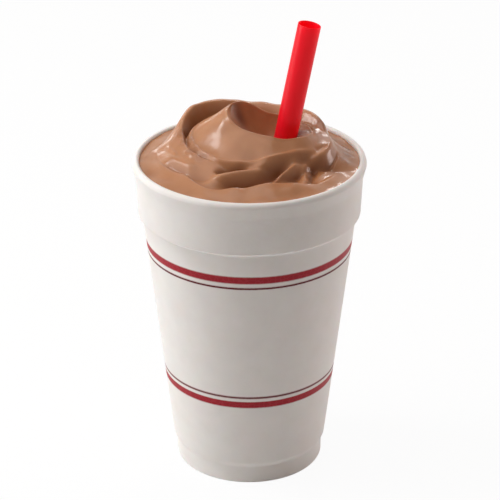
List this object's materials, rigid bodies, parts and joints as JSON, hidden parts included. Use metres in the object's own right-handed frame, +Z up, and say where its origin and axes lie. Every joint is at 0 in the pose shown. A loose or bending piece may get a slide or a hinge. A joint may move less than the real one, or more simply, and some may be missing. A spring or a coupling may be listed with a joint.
{
  "type": "chocolate milkshake in a foam cup",
  "caption": "Thick chocolate milkshake heaped in one spiral fold over a tapered white foam cup with dark red bands, with a red straw leaning in it.",
  "frame": {"origin": "on the table, on the cup's axis", "axes": "+Z up along the cup's axis, +X to the side that the straw leans to, -Y to the front"},
  "size_m": [0.092, 0.092, 0.1852],
  "materials": {
    "cup_foam": "moulded white expanded polystyrene foam with printed dark red bands",
    "shake": null,
    "straw_plastic": "extruded red polypropylene, slightly translucent"
  },
  "bodies": {
    "root": {"foam_cup": "cup_foam", "milkshake": "shake", "straw": "straw_plastic"}
  },
  "joints": []
}
